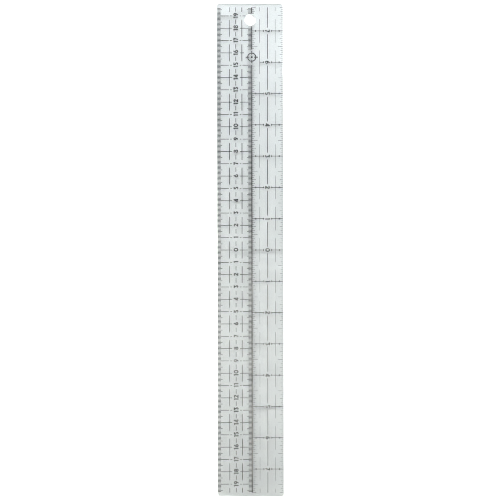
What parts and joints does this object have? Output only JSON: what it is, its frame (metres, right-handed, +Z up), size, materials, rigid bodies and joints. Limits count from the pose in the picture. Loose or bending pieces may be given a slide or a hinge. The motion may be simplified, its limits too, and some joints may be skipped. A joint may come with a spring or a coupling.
{
  "type": "centring ruler",
  "caption": "Flat clear ruler with a hanging hole, printed on top with centimetre and inch scales that both count outwards from a zero in the middle.",
  "frame": {"origin": "centre of the back face that the ruler lies on, under the scales' zero", "axes": "+Y along the ruler towards the end with the hanging hole, +X across it towards the inch edge, +Z up through the printed face"},
  "size_m": [0.0536, 0.4, 0.003],
  "materials": {
    "clear_acrylic": "gloss",
    "black_ink": "satin"
  },
  "bodies": {
    "root": {"ruler_blade": "clear_acrylic", "millimetre_edge_ticks": "black_ink", "millimetre_inner_ticks": "black_ink", "centimetre_grid": "black_ink", "centimetre_centre_dashes": "black_ink", "centimetre_numerals": "black_ink", "divider_line": "black_ink", "sixteenth_edge_ticks": "black_ink", "sixteenth_inner_ticks": "black_ink", "inch_grid": "black_ink", "inch_centre_dashes": "black_ink", "inch_numerals": "black_ink", "centring_mark": "black_ink"}
  },
  "joints": []
}
